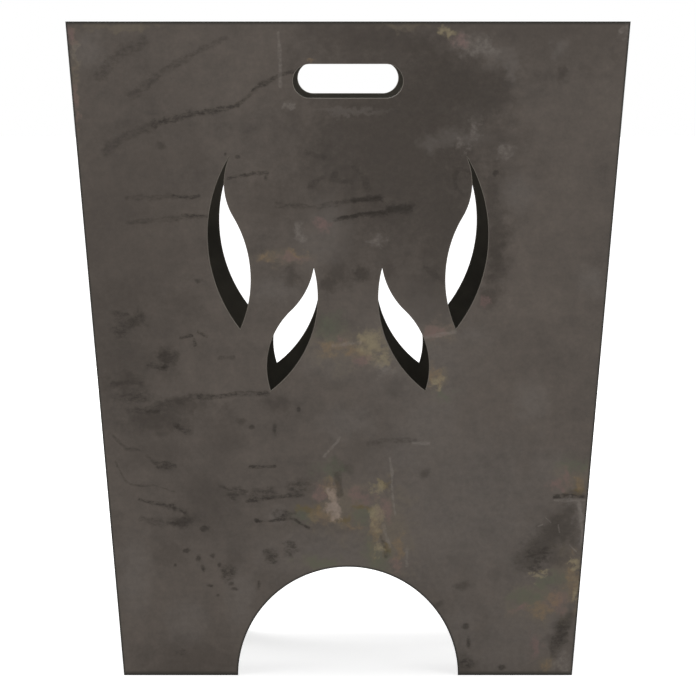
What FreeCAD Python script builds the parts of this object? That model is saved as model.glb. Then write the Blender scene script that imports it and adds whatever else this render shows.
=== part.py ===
"""Tapered fire basket welded from four flame-cut steel panels, with a loose grate that lifts out.

The basket is square on plan and wider at the rim than at the feet. The front and back panels run the
full width, and the side panels butt against their inner faces. Short fillet welds hold each inner
corner. A welded lug on every panel, above its arch, carries the grate.

The origin is on the floor under the middle of the basket. +Z is up and the front panel faces -Y.
"""
import FreeCAD, Part
import math
import os
from FreeCAD import Placement, Rotation, Vector

# Basket, outside sizes
height = 600.0
rim_width = 512.0
foot_width = 412.0
plate = 3.0

# Arch in each panel, struck from the middle of its foot edge
arch_radius = 101.0

# Hand slot in the front and back panels
slot_length = 100.0
slot_width = 31.0
slot_below_rim = 54.0

# Tall flame, the outer one of each pair. Its tip stands out from the panel's middle line and below the
# rim. Drift is how far the tip leans past the root, towards the bowed edge.
tall_tip_out = 107.7
tall_tip_below_rim = 122.3
tall_rise = 158.5
tall_drift = 9.3
tall_bow = 24.6
tall_bend_over = 6.1
tall_bend_up = 102.7
tall_neck = 6.8

# Short flame, the inner one of each pair, bowed towards the panel's middle line
short_tip_out = 31.2
short_tip_below_rim = 224.8
short_rise = 112.8
short_drift = 39.3
short_bow = 18.2
short_bend_over = 18.5
short_bend_up = 73.5
short_neck = 3.6

# Lugs that carry the grate
seat_above_arch = 49.0
lug_width = 70.0
lug_reach = 30.0
lug_plate = 4.0
lug_corner = 6.0

# Grate, a slotted plate that drops in from above
grate_plate = 4.0
grate_gap = 3.0
grate_corner = 12.0
grate_border = 42.0
ash_slot_width = 8.0
ash_slot_end_web = 20.0
ash_slot_rows = 3
ash_slot_columns = 12

# Welds
corner_weld_leg = 5.0
corner_weld_length = 50.0
corner_welds = 4
weld_from_rim = 8.0
weld_from_foot = 30.0
lug_weld_leg = 4.0
lug_weld_inset = 7.0
weld_crown = 0.6

# Slope of the panels and the inner corners that follow from it
lean = (rim_width - foot_width) / 2 / height
tilt = math.atan(lean)
slope_length = height / math.cos(tilt)
inner_foot = foot_width / 2 - plate / math.cos(tilt)
seat = arch_radius * math.cos(tilt) + seat_above_arch

X_AXIS = Vector(1, 0, 0)
Y_AXIS = Vector(0, 1, 0)
Z_AXIS = Vector(0, 0, 1)
QUARTER = {"front": 0, "right": 90, "back": 180, "left": 270}


def inner_half(z):
    """Half the inside width of the basket at height z."""
    return inner_foot + lean * z


def turned(shape, side):
    """A copy of a shape made for the front, turned to another side of the basket."""
    copy = shape.copy()
    copy.rotate(Vector(0, 0, 0), Z_AXIS, QUARTER[side])
    return copy


def closed_wire(*curves):
    """Curves that meet end to end, joined to a closed outline."""
    return Part.Wire([curve.toShape() for curve in curves])


def arc_over(start, end, rise):
    """Arc from start to end whose middle stands rise to the right of the way it runs."""
    chord = end - start
    right = Vector(chord.y, -chord.x, 0).normalize()
    return Part.ArcOfCircle(start, (start + end) / 2 + right * rise, end)


def arc_leaving(before, start, end):
    """Arc from start to end that leaves the arc before it without a corner."""
    centre = before.Center
    normal = (start - centre).normalize()
    chord = end - start
    reach = chord.dot(chord) / (2 * chord.dot(normal))
    new_centre = start + normal * reach
    middle = ((start + end) / 2 - new_centre).normalize() * abs(reach)
    return Part.ArcOfCircle(start, new_centre + middle, end)


def flame(side, tip, rise, drift, bow, bend_over, bend_up, neck):
    """Outline of one flame: a bowed edge from root to tip, and an edge of two arcs back to the root.

    side is +1 where the bow faces +X and -1 where it faces -X.
    """
    root = tip - Vector(side * drift, rise, 0)
    bend = root + Vector(side * bend_over, bend_up, 0)
    bow_arc = arc_over(root, tip, side * bow)
    neck_arc = arc_over(tip, bend, -side * neck)
    belly_arc = arc_leaving(neck_arc, bend, root)
    return closed_wire(bow_arc, neck_arc, belly_arc)


def slot_outline(length, width):
    """Round-ended slot along X, centred on the origin."""
    radius = width / 2
    straight = length / 2 - radius
    tip = Vector(length / 2, 0, 0)
    right_low, right_high = Vector(straight, -radius, 0), Vector(straight, radius, 0)
    left_low, left_high = Vector(-straight, -radius, 0), Vector(-straight, radius, 0)
    return closed_wire(
        Part.LineSegment(left_low, right_low),
        Part.ArcOfCircle(right_low, tip, right_high),
        Part.LineSegment(right_high, left_high),
        Part.ArcOfCircle(left_high, -tip, left_low),
    )


def hand_slot():
    """Slot under the rim, the grip for carrying."""
    outline = slot_outline(slot_length, slot_width)
    outline.translate(Vector(0, slope_length - slot_below_rim, 0))
    return outline


def flame_pairs():
    """The four flames of a panel: a tall and a short one on each side of the middle line."""
    wires = []
    for side in (1, -1):
        tall_tip = Vector(side * tall_tip_out, slope_length - tall_tip_below_rim, 0)
        short_tip = Vector(side * short_tip_out, slope_length - short_tip_below_rim, 0)
        wires.append(flame(side, tall_tip, tall_rise, tall_drift, tall_bow,
                           tall_bend_over, tall_bend_up, tall_neck))
        wires.append(flame(-side, short_tip, short_rise, short_drift, short_bow,
                           short_bend_over, short_bend_up, short_neck))
    return wires


def flat_panel(with_slot):
    """Panel laid flat: X across, Y up the slope from the foot edge, outer face on Z = 0.

    A little spare plate below the foot edge is trimmed off level once the panel stands.
    """
    rim, foot = rim_width / 2, foot_width / 2
    spare = plate
    foot_spare = foot - (rim - foot) / slope_length * spare
    corners = [Vector(-foot_spare, -spare, 0), Vector(foot_spare, -spare, 0),
               Vector(rim, slope_length, 0), Vector(-rim, slope_length, 0)]
    openings = flame_pairs()
    if with_slot:
        openings.append(hand_slot())
    blank = Part.Face(Part.makePolygon(corners + corners[:1])).extrude(Vector(0, 0, -plate))
    for wire in openings:
        blank = blank.cut(cutter(wire))
    arch = Part.makeCylinder(arch_radius, 3 * plate, Vector(0, 0, -2 * plate))
    return blank.cut(arch)


def cutter(wire):
    """Straight cut through the panel along a flat outline."""
    outline = Part.Face(wire)
    outline.translate(Vector(0, 0, plate))
    return outline.extrude(Vector(0, 0, -3 * plate))


def above_floor():
    """Everything above the floor, which trims the feet level."""
    reach = 2 * max(rim_width, foot_width)
    return Part.makeBox(reach, reach, 2 * height, Vector(-reach / 2, -reach / 2, 0))


def between_front_and_back():
    """The space between the inner faces of the front and back panels."""
    low, high = -height, 2 * height
    reach = 2 * max(rim_width, foot_width)
    profile = [Vector(-reach / 2, -inner_half(low), low), Vector(-reach / 2, inner_half(low), low),
               Vector(-reach / 2, inner_half(high), high), Vector(-reach / 2, -inner_half(high), high)]
    return Part.Face(Part.makePolygon(profile + profile[:1])).extrude(X_AXIS * reach)


def standing_panel(with_slot):
    """Front panel in its place, leaning out at the rim, its feet level on the floor."""
    panel = flat_panel(with_slot)
    stand = Rotation(X_AXIS, 90 + math.degrees(tilt))
    panel.Placement = Placement(Vector(0, -foot_width / 2, 0), stand)
    return panel.common(above_floor())


def lug():
    """Flat lug on the front panel's inner face, its top level with the grate's underside."""
    under = seat - lug_plate
    free_edge = -inner_half(seat) + lug_reach
    profile = [Vector(-lug_width / 2, -inner_half(seat), seat), Vector(-lug_width / 2, free_edge, seat),
               Vector(-lug_width / 2, free_edge, under), Vector(-lug_width / 2, -inner_half(under), under)]
    shape = Part.Face(Part.makePolygon(profile + profile[:1])).extrude(X_AXIS * lug_width)
    free_corners = [edge for edge in shape.Edges
                    if abs(edge.BoundBox.YMin - free_edge) < 0.01 and edge.BoundBox.ZLength > lug_plate / 2]
    return shape.makeFillet(lug_corner, free_corners)


def fillet_bead(corner, along, leg_a, leg_b, leg, length):
    """Weld bead in an inner corner: flat on both plates, slightly crowned where it shows."""
    end_a, end_b = corner + leg_a * leg, corner + leg_b * leg
    outward = (leg_a + leg_b).normalize()
    crown = Part.ArcOfCircle(end_a, (end_a + end_b) / 2 + outward * weld_crown, end_b)
    section = closed_wire(Part.LineSegment(corner, end_a), crown, Part.LineSegment(end_b, corner))
    return Part.Face(section).extrude(along * length)


def lug_weld():
    """Bead under the front lug, along its joint with the panel."""
    under = seat - lug_plate
    length = lug_width - 2 * lug_weld_inset
    start = Vector(-length / 2, -inner_half(under), under)
    down_the_panel = Vector(0, math.sin(tilt), -math.cos(tilt))
    return fillet_bead(start, X_AXIS, Y_AXIS, down_the_panel, lug_weld_leg, length)


def corner_weld():
    """Row of short beads up the inner corner between the front and left panels."""
    foot_corner = Vector(-inner_foot, -inner_foot, 0)
    run = Vector(-lean, -lean, 1) * height
    along = Vector(run).normalize()
    leg_a = (X_AXIS - along * along.x).normalize()
    leg_b = (Y_AXIS - along * along.y).normalize()
    last_start = run.Length - weld_from_rim - corner_weld_length
    step = (last_start - weld_from_foot) / (corner_welds - 1)
    beads = [fillet_bead(foot_corner + along * (weld_from_foot + step * n), along,
                         leg_a, leg_b, corner_weld_leg, corner_weld_length)
             for n in range(corner_welds)]
    return Part.makeCompound(beads)


def grate():
    """Square plate with rounded corners, resting on the lugs. Rows of ash slots fill it inside its border."""
    half = inner_half(seat) - grate_gap
    body = Part.makeBox(2 * half, 2 * half, grate_plate, Vector(-half, -half, seat))
    uprights = [edge for edge in body.Edges if edge.BoundBox.ZLength > grate_plate / 2]
    body = body.makeFillet(grate_corner, uprights)
    field = 2 * (half - grate_border)
    row_pitch = (field + ash_slot_end_web) / ash_slot_rows
    column_pitch = (field - ash_slot_width) / (ash_slot_columns - 1)
    for column in range(ash_slot_columns):
        for row in range(ash_slot_rows):
            across = (column - (ash_slot_columns - 1) / 2) * column_pitch
            along = (row - (ash_slot_rows - 1) / 2) * row_pitch
            body = body.cut(ash_slot(across, along, row_pitch - ash_slot_end_web))
    return body


def ash_slot(across, along, length):
    """Cutter for one slot of the grate, which runs from front to back."""
    outline = slot_outline(length, ash_slot_width)
    outline.rotate(Vector(0, 0, 0), Z_AXIS, 90)
    outline.translate(Vector(across, along, seat - grate_plate))
    return Part.Face(outline).extrude(Z_AXIS * 3 * grate_plate)


def build():
    """Every piece in its place, by name."""
    nodes = {}
    full_panel = standing_panel(with_slot=True)
    side_panel = standing_panel(with_slot=False)
    gap = between_front_and_back()
    for side in ("front", "back"):
        nodes[side + "_panel"] = turned(full_panel, side)
    for side in ("left", "right"):
        nodes[side + "_panel"] = turned(side_panel, side).common(gap)
    for side in QUARTER:
        nodes[side + "_lug"] = turned(lug(), side)
        nodes[side + "_lug_weld"] = turned(lug_weld(), side)
    corners = {"front_left": "front", "front_right": "right", "back_right": "back", "back_left": "left"}
    for corner, side in corners.items():
        nodes[corner + "_corner_welds"] = turned(corner_weld(), side)
    nodes["fire_grate"] = grate()
    return nodes


def main():
    os.makedirs("parts", exist_ok=True)
    for name, shape in build().items():
        shape.exportStep("parts/" + name + ".step")
        solids = shape.Solids
        volume = sum(solid.Volume for solid in solids)
        print(f"{name}: {len(solids)} solid(s), {volume / 1000:.1f} cm3, valid {shape.isValid()}")


main()
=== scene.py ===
# %% [markdown]
# A fire basket of raw steel plate
#
# The real basket is four leaning plates, welded inside their corners, with a loose slotted plate on lugs
# as its floor. The CAD frame already holds every piece at its true size and place. This lesson gives each
# piece the finish that shows in the picture: dark mill scale, drag marks, heat tints and crisp cut edges.
# We load the frame first and keep its box.

# %% Load the CAD frame
import math
import random
from collections import namedtuple

import bpy
from mathutils import Matrix, Vector
from mathutils.geometry import tessellate_polygon


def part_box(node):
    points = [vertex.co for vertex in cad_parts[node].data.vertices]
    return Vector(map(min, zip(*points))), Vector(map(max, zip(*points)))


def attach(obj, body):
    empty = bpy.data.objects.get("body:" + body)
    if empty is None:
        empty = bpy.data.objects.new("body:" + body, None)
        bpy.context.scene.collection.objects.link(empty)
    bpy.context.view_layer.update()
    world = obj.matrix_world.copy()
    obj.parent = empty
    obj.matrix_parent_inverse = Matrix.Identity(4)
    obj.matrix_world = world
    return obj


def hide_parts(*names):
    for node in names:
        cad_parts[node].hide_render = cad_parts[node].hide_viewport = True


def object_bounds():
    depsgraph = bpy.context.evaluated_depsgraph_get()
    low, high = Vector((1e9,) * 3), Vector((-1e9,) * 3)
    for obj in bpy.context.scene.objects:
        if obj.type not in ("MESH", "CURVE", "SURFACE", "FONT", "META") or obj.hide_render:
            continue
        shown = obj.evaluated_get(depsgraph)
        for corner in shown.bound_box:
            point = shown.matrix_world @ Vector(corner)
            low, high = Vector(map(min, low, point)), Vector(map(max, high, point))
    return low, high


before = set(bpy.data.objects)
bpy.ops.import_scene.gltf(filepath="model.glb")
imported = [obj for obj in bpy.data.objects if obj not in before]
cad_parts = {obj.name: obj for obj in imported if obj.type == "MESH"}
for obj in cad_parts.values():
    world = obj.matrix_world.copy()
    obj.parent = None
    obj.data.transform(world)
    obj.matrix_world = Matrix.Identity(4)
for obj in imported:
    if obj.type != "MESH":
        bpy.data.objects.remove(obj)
cad_low, cad_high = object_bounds()

# %% [markdown]
# Sizes
#
# The frame gives the outside box. A few more sizes say how thick the plate is, how far it leans and where
# its cut-outs lie. Everything is in metres, so we write millimetres with a factor.

# %% Sizes of the basket
MM = 0.001
PLATE = 3 * MM
HEIGHT = 600 * MM
RIM_WIDTH = cad_high.x - cad_low.x
FOOT_WIDTH = 412 * MM
ARCH_RADIUS = 101 * MM
LEAN = (RIM_WIDTH - FOOT_WIDTH) / 2 / HEIGHT
TILT = math.atan(LEAN)
SLOPE = HEIGHT / math.cos(TILT)
INNER_FOOT = FOOT_WIDTH / 2 - PLATE / math.cos(TILT)
INNER_RIM = INNER_FOOT + LEAN * HEIGHT
QUARTER = {"front": 0, "right": 90, "back": 180, "left": 270}
print(f"panels lean {math.degrees(TILT):.2f} degrees, {SLOPE / MM:.1f} mm up the slope")

# %% [markdown]
# Outlines from lines and arcs
#
# A cutting table follows lines and arcs, so our outlines do the same. An arc through three points is easy
# to read: where it starts, a point that it passes over, and where it ends. We turn each arc into short
# chords, fine enough that no facet shows.

# %% Arcs in flat coordinates
CHORD = 1.5 * MM
FEWEST_CHORDS = 4


def circle_centre(a, b, c):
    """Centre of the circle through three flat points."""
    ab, ac = b - a, c - a
    twice_area = 2 * (ab.x * ac.y - ab.y * ac.x)
    x = (ac.y * ab.length_squared - ab.y * ac.length_squared) / twice_area
    y = (ab.x * ac.length_squared - ac.x * ab.length_squared) / twice_area
    return a + Vector((x, y))


def arc(start, over, end):
    """Points from start along the arc that passes over a point, up to but without the end."""
    centre = circle_centre(start, over, end)
    radius = (start - centre).length
    first = math.atan2(start.y - centre.y, start.x - centre.x)
    last = math.atan2(end.y - centre.y, end.x - centre.x)
    turn = (over - start).x * (end - over).y - (over - start).y * (end - over).x
    sweep = (last - first) % math.tau if turn > 0 else -((first - last) % math.tau)
    count = max(FEWEST_CHORDS, math.ceil(abs(sweep) * radius / CHORD))
    angles = [first + sweep * n / count for n in range(count)]
    return [centre + radius * Vector((math.cos(a), math.sin(a))) for a in angles]


def bulge(start, end, rise):
    """Middle of an arc that stands rise to the right of the way from start to end."""
    way = (end - start).normalized()
    return (start + end) / 2 + rise * Vector((way.y, -way.x))


def leaving(centre, start, end):
    """Middle of the arc from start to end that leaves an arc round centre without a corner."""
    normal = (start - centre).normalized()
    chord = end - start
    reach = chord.length_squared / (2 * chord.dot(normal))
    new_centre = start + normal * reach
    return new_centre + ((start + end) / 2 - new_centre).normalized() * abs(reach)


print("arcs are cut into chords of", CHORD / MM, "mm")

# %% [markdown]
# The flames
#
# Each flame has a bowed edge from root to tip and an S-shaped edge back: a short arc at the neck, then a
# belly arc that leaves it smoothly. The tall flame bows away from the panel's middle line and the short
# one towards it. A mirrored flame is the same outline with the other side named. Eight sizes in millimetres
# give all of it.

# %% Flame, slot and arch outlines
Flame = namedtuple("Flame", "tip_out tip_below_rim rise drift bow bend_over bend_up neck")
TALL = Flame(107.7, 122.3, 158.5, 9.3, 24.6, 6.1, 102.7, 6.8)
SHORT = Flame(31.2, 224.8, 112.8, 39.3, 18.2, 18.5, 73.5, 3.6)
SLOT_LENGTH = 100 * MM
SLOT_WIDTH = 31 * MM
SLOT_BELOW_RIM = 54 * MM


def flame_outline(flame, half, bow_side):
    """Outline of a flame on the half of the panel that is +1 or -1, bowed towards bow_side."""
    sizes = Flame(*[size * MM for size in flame])
    tip = Vector((half * sizes.tip_out, SLOPE - sizes.tip_below_rim))
    root = tip - Vector((bow_side * sizes.drift, sizes.rise))
    bend = root + Vector((bow_side * sizes.bend_over, sizes.bend_up))
    neck = bulge(tip, bend, -bow_side * sizes.neck)
    belly = leaving(circle_centre(tip, neck, bend), bend, root)
    bow = bulge(root, tip, bow_side * sizes.bow)
    return arc(root, bow, tip) + arc(tip, neck, bend) + arc(bend, belly, root)


def slot_outline():
    """Round-ended hand slot under the rim."""
    level = SLOPE - SLOT_BELOW_RIM
    radius = SLOT_WIDTH / 2
    straight = SLOT_LENGTH / 2 - radius
    right = [Vector((straight, level - radius)), Vector((straight + radius, level))]
    right_top = Vector((straight, level + radius))
    left = [Vector((-straight, level + radius)), Vector((-straight - radius, level))]
    left_low = Vector((-straight, level - radius))
    return arc(*right, right_top) + [right_top] + arc(*left, left_low) + [left_low]


def panel_outline(foot_half, rim_half):
    """Outer edge of a panel: two feet, the arch between them, and the leaning sides up to the rim."""
    left_spring, right_spring = Vector((-ARCH_RADIUS, 0)), Vector((ARCH_RADIUS, 0))
    arch = arc(left_spring, Vector((0, ARCH_RADIUS)), right_spring)
    right_side = [Vector((foot_half, 0)), Vector((rim_half, SLOPE))]
    left_side = [Vector((-rim_half, SLOPE)), Vector((-foot_half, 0))]
    return arch + [right_spring] + right_side + left_side


def panel_cut_outs(with_slot):
    """The four flames, and the hand slot where the panel has one."""
    cut_outs = []
    for half in (1, -1):
        cut_outs.append(flame_outline(TALL, half, half))
        cut_outs.append(flame_outline(SHORT, half, -half))
    return cut_outs + ([slot_outline()] if with_slot else [])


print("cut-outs on the front panel:", len(panel_cut_outs(True)))

# %% [markdown]
# A plate with broken edges
#
# A plain extrusion has perfect corners that no light ever catches. A cut plate has a small arris all
# round, and in the picture it shows as a thin line along every cut-out. We build the plate ring by ring:
# the outer face, the arris, the cut edge, the arris behind, the inner face. The faces are filled with
# Blender's polygon filler, which knows about holes. The UV map is the flat sheet itself, in metres.

# %% Plate builder
ARRIS = 0.6 * MM
FOOT_ZONE = 2 * ARRIS
TIP_SHIFT = 2
SHARP_ANGLE = math.radians(30)
OUTER_FACE, INNER_FACE, RIM_EDGE, CUT_EDGE = range(4)


def signed_area(loop):
    """Area inside a loop, above 0 where it runs anticlockwise."""
    return sum(a.x * b.y - b.x * a.y for a, b in zip(loop, loop[1:] + loop[:1])) / 2


def drawn_in(loop, distance):
    """The loop moved into the metal, which lies to its left. Sharp tips move no more than twice as far."""
    moved = []
    for before, here, after in zip(loop[-1:] + loop[:-1], loop, loop[1:] + loop[:1]):
        way_in, way_out = (here - before).normalized(), (after - here).normalized()
        left = Vector((-way_in.y - way_out.y, way_in.x + way_out.x)).normalized()
        square = left.dot(Vector((-way_in.y, way_in.x)))
        moved.append(here + left * distance / max(square, 1 / TIP_SHIFT))
    return moved


def ring_faces(low, high, size):
    """Faces between two rings of as many points, numbered on from low and from high."""
    return [(low + n, high + n, high + (n + 1) % size, low + (n + 1) % size) for n in range(size)]


def filled(points, rings, upwards):
    """Triangles that fill the first ring around the others, facing up or facing down."""
    index = [n for ring in rings for n in ring]
    triangles = []
    for triangle in tessellate_polygon([[points[n] for n in ring] for ring in rings]):
        corners = [index[n] for n in triangle]
        a, b, c = [points[n] for n in corners]
        faces_up = (b - a).cross(c - a).z > 0
        triangles.append(corners if faces_up == upwards else corners[::-1])
    return triangles


print("plate edges have an arris of", ARRIS / MM, "mm")

# %% Plates as meshes
def plate_mesh(name, outline, cut_outs, thickness, foot_slope):
    """Plate laid flat: outer face on Z = 0, cut-outs through it, an arris on every edge."""
    loops = [outline if signed_area(outline) > 0 else outline[::-1]]
    loops += [loop if signed_area(loop) < 0 else loop[::-1] for loop in cut_outs]
    depths = [0, ARRIS, thickness - ARRIS, thickness]
    points, faces, slots, outer_rings, inner_rings = [], [], [], [], []
    for loop in loops:
        edge = RIM_EDGE if loop is loops[0] else CUT_EDGE
        size = len(loop)
        starts = [len(points) + size * ring for ring in range(len(depths))]
        for depth, ring in zip(depths, [drawn_in(loop, ARRIS), loop, loop, drawn_in(loop, ARRIS)]):
            for point in ring:
                drop = depth * foot_slope if point.y < FOOT_ZONE else 0
                points.append(Vector((point.x, point.y - drop, -depth)))
        for low, high in zip(starts, starts[1:]):
            faces += ring_faces(low, high, size)
            slots += [edge] * size
        outer_rings.append(range(starts[0], starts[0] + size))
        inner_rings.append(range(starts[-1], starts[-1] + size))
    for rings, slot in ((outer_rings, OUTER_FACE), (inner_rings, INNER_FACE)):
        triangles = filled(points, rings, slot == OUTER_FACE)
        faces += triangles
        slots += [slot] * len(triangles)
    mesh = bpy.data.meshes.new(name)
    mesh.from_pydata(points, [], faces)
    mesh.polygons.foreach_set("material_index", slots)
    sheet = mesh.uv_layers.new(name="sheet")
    for corner in mesh.loops:
        sheet.data[corner.index].uv = points[corner.vertex_index].xy
    mesh.shade_smooth()
    mesh.set_sharp_from_angle(angle=SHARP_ANGLE)
    return mesh


def add_object(name, mesh):
    """An object for a finished mesh, at the origin."""
    made = bpy.data.objects.new(name, mesh)
    bpy.context.scene.collection.objects.link(made)
    return made


def swing(angle):
    """Turn from the front to another side of the basket."""
    return Matrix.Rotation(math.radians(angle), 4, "Z")


print("material slots of a plate:", CUT_EDGE + 1)

# %% [markdown]
# Stand the panels up
#
# A flat panel is turned up about its foot edge, leaned out by the tilt, moved to the front and then swung
# round to its side of the basket. The move goes into the mesh, so every object stays at the origin. The
# front and back run the full width. The sides fit between their inner faces.

# %% The four panels
def runs_full_width(side):
    return side in ("front", "back")


def half_widths(side):
    """Half widths of a panel at its feet and at its rim."""
    return (FOOT_WIDTH / 2, RIM_WIDTH / 2) if runs_full_width(side) else (INNER_FOOT, INNER_RIM)


panels = {}
stood_up = Matrix.Translation((0, -FOOT_WIDTH / 2, 0)) @ Matrix.Rotation(math.pi / 2 + TILT, 4, "X")
for side, angle in QUARTER.items():
    outline = panel_outline(*half_widths(side))
    cut_outs = panel_cut_outs(runs_full_width(side))
    mesh = plate_mesh(side + "_panel_plate", outline, cut_outs, PLATE, LEAN)
    mesh.transform(swing(angle) @ stood_up)
    panels[side] = add_object(side + "_panel_plate", mesh)
    print(side, "panel:", len(mesh.polygons), "faces")

# %% [markdown]
# Nodes in few words
#
# A material is a graph of small nodes, and most of its code makes nodes and links them. A few helpers keep
# that short. One makes any node, and others do arithmetic on numbers and vectors, read a noise or lay one
# colour on another. A grain names a noise's scale, detail and roughness. Colours are written as a colour
# picker shows them, from 0 to 255, and turned into the linear values that Blender works in.

# %% Node helpers
def add_node(tree, kind, inputs, **settings):
    """A node with its settings. Each input is a plain value or the output that it is linked from."""
    made = tree.nodes.new(kind)
    for name, value in settings.items():
        setattr(made, name, value)
    for key, value in inputs.items():
        if isinstance(value, bpy.types.NodeSocket):
            tree.links.new(value, made.inputs[key])
        else:
            made.inputs[key].default_value = value
    return made


def number(tree, operation, *values):
    """Arithmetic on numbers."""
    return add_node(tree, "ShaderNodeMath", dict(enumerate(values)), operation=operation).outputs[0]


def vector(tree, operation, *values):
    """Arithmetic on vectors, which gives a vector or, for a length, a number."""
    made = add_node(tree, "ShaderNodeVectorMath", dict(enumerate(values)), operation=operation)
    return made.outputs["Value" if operation in ("DOT_PRODUCT", "DISTANCE", "LENGTH") else "Vector"]


def scaled(tree, arrow, factor):
    """A vector or a colour, times a number."""
    return add_node(tree, "ShaderNodeVectorMath", {0: arrow, "Scale": factor}, operation="SCALE").outputs[0]


shader_nodes = [name for name in dir(bpy.types) if name.startswith("ShaderNode")]
print("kinds of shader nodes to choose from:", len(shader_nodes))

# %% Patterns and colours
Grain = namedtuple("Grain", "scale detail roughness")


def noise(tree, where, grain):
    """Soft random values over a surface, the widest about 1 / scale metres across."""
    inputs = {"Vector": where, "Scale": grain.scale, "Detail": grain.detail, "Roughness": grain.roughness}
    return add_node(tree, "ShaderNodeTexNoise", inputs).outputs


def eased(tree, value, low, high, new_low, new_high):
    """Value between low and high, eased to between new_low and new_high, and held there outside."""
    inputs = {0: value, 1: low, 2: high, 3: new_low, 4: new_high}
    return add_node(tree, "ShaderNodeMapRange", inputs, interpolation_type="SMOOTHSTEP").outputs[0]


def layered(tree, share, under, over):
    """Colour over laid on colour under, where share is above 0."""
    return add_node(tree, "ShaderNodeMix", {0: share, 6: under, 7: over}, data_type="RGBA").outputs[2]


def srgb(red, green, blue):
    """Linear colour from the three numbers that a colour picker shows."""
    levels = [level / 255 for level in (red, green, blue)]
    return [x / 12.92 if x <= 0.04045 else ((x + 0.055) / 1.055) ** 2.4 for x in levels] + [1.0]


PLATE_GREY = (85, 78, 72)
print("the plate's grey in linear light:", [round(level, 3) for level in srgb(*PLATE_GREY)[:3]])

# %% [markdown]
# Mill scale
#
# Hot-rolled plate leaves the mill with a thin dark skin of oxide. Up close it is never one grey: there are
# wide clouds, thumb-sized mottling and a fine grain, all about equally strong, and faint bands along the
# rolling direction. One noise with many octaves gives the first three. Every steel piece here has that
# skin, so it is a shader group, with a tone, a contrast and a seed for each use.

# %% Mill scale group
MOTTLE = Grain(9, 6, 0.88)
ROLLED = Grain(1, 2, 0.6)
ROLLED_SQUEEZE = (4, 60, 60)
ROLLED_SHARE = 0.12
MIDDLE_SHADE = 0.5 + 0.5 * ROLLED_SHARE
MOTTLE_SPAN = 0.3, 0.7
ROUGHNESS_SPAN = 0.55, 0.75


def shader_group(name, inputs, outputs):
    """An empty shader group, with its named inputs to read from and outputs to link to."""
    tree = bpy.data.node_groups.new(name, "ShaderNodeTree")
    for label, kind in inputs.items():
        tree.interface.new_socket(label, in_out="INPUT", socket_type="NodeSocket" + kind)
    for label, kind in outputs.items():
        tree.interface.new_socket(label, in_out="OUTPUT", socket_type="NodeSocket" + kind)
    return tree, tree.nodes.new("NodeGroupInput").outputs, tree.nodes.new("NodeGroupOutput").inputs


def make_mill_scale():
    tree, given, result = shader_group(
        "mill_scale", {"Surface": "Vector", "Tone": "Color", "Contrast": "Float", "Seed": "Float"},
        {"Colour": "Color", "Roughness": "Float", "Height": "Float"})
    where = vector(tree, "ADD", given["Surface"], given["Seed"])
    mottle = noise(tree, where, MOTTLE)["Fac"]
    rolled = noise(tree, vector(tree, "MULTIPLY", where, ROLLED_SQUEEZE), ROLLED)["Fac"]
    uneven = number(tree, "MULTIPLY_ADD", rolled, ROLLED_SHARE, mottle)
    from_middle = number(tree, "SUBTRACT", uneven, MIDDLE_SHADE)
    shade = number(tree, "MULTIPLY_ADD", from_middle, given["Contrast"], 1.0)
    tree.links.new(scaled(tree, given["Tone"], shade), result["Colour"])
    tree.links.new(eased(tree, mottle, *MOTTLE_SPAN, *ROUGHNESS_SPAN), result["Roughness"])
    tree.links.new(mottle, result["Height"])
    return tree


mill_scale = make_mill_scale()
print("mill scale group:", len(mill_scale.nodes), "nodes")

# %% [markdown]
# Patches and drags
#
# The plate carries marks of its making and handling: clouds in the scale, heat tints, drags and spots.
# Each one is either a soft oval patch or a drag from point to point. Two small groups measure how far a
# point of the surface lies from a mark, in sizes of that mark, and pass on the nearest so far. A whole
# layer of marks is then one number: 0 in the middle of a mark, 1 at its edge.

# %% Patch and drag groups
def make_patch():
    tree, given, result = shader_group(
        "patch", {"Surface": "Vector", "Stretch": "Vector", "Shift": "Vector", "Nearest": "Float"},
        {"Nearest": "Float"})
    oval = vector(tree, "MULTIPLY_ADD", given["Surface"], given["Stretch"], given["Shift"])
    away = vector(tree, "LENGTH", oval)
    tree.links.new(number(tree, "MINIMUM", away, given["Nearest"]), result["Nearest"])
    return tree


def make_drag():
    tree, given, result = shader_group(
        "drag", {"Surface": "Vector", "From": "Vector", "Run": "Vector", "Pace": "Vector",
                 "Thinness": "Float", "Thinning": "Float", "Nearest": "Float"}, {"Nearest": "Float"})
    reach = vector(tree, "SUBTRACT", given["Surface"], given["From"])
    share = vector(tree, "DOT_PRODUCT", reach, given["Pace"])
    along = add_node(tree, "ShaderNodeClamp", {"Value": share}).outputs[0]
    away = vector(tree, "DISTANCE", reach, scaled(tree, given["Run"], along))
    thinness = number(tree, "MULTIPLY_ADD", along, given["Thinning"], given["Thinness"])
    away = number(tree, "MULTIPLY", away, thinness)
    tree.links.new(number(tree, "MINIMUM", away, given["Nearest"]), result["Nearest"])
    return tree


patch = make_patch()
drag = make_drag()
print("patch group:", len(patch.nodes), "nodes, drag group:", len(drag.nodes), "nodes")

# %% [markdown]
# Finishes of the marks
#
# Every layer has one colour and one strength, and the layers lie on each other in this order. There are
# three kinds. Clouds are darker and paler scale with soft edges. Films are sharper: blooms, a brown wash,
# and the tints where a weld has heated the plate from behind. There the oxide grows to different depths and
# shows moss green, rose, ochre, tan, straw and peach, side by side like spilt tea. Dirt lies on the skin:
# smudges, speckle, specks and drags. A scratch goes through to brighter steel, but it breaks up as dirt
# does. The last number says how much of a layer is broken away.

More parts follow.
